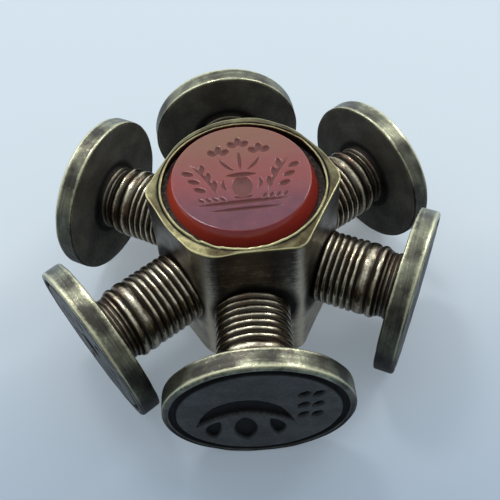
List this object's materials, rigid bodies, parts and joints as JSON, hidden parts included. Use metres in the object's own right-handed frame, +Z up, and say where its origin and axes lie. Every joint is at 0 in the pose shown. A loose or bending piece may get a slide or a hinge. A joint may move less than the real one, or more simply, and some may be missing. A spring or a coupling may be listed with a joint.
{
  "type": "seal stamp",
  "caption": "Spoke-like desk seal: turned metal seals on ribbed stems stand out from a hexagonal hub with an engraved carnelian set in its top.",
  "frame": {"origin": "middle of the hub's flat underside, on the surface that the stamp stands on", "axes": "+Z up along the hub towards the carnelian, -Y towards the front seal, +X to its right as seen from the front"},
  "size_m": [0.0345, 0.033, 0.0164],
  "materials": {
    "dark_metal": "aged brass-bronze, dark patina, rubbed smooth and scratched",
    "rubbed_metal": "aged brass rubbed bright along the edge",
    "worn_metal": "aged brass-bronze, turned, patinated dark in the recesses",
    "carnelian": "polished translucent orange-red stone with matt cut picture",
    "cement": "dark gritty setting cement"
  },
  "bodies": {
    "root": {"hub": "dark_metal", "bezel": "rubbed_metal", "setting_cement": "cement", "carnelian": "carnelian", "seal_front": "worn_metal", "seal_front_right": "worn_metal", "seal_back_right": "worn_metal", "seal_back": "worn_metal", "seal_back_left": "worn_metal", "seal_front_left": "worn_metal"}
  },
  "joints": []
}
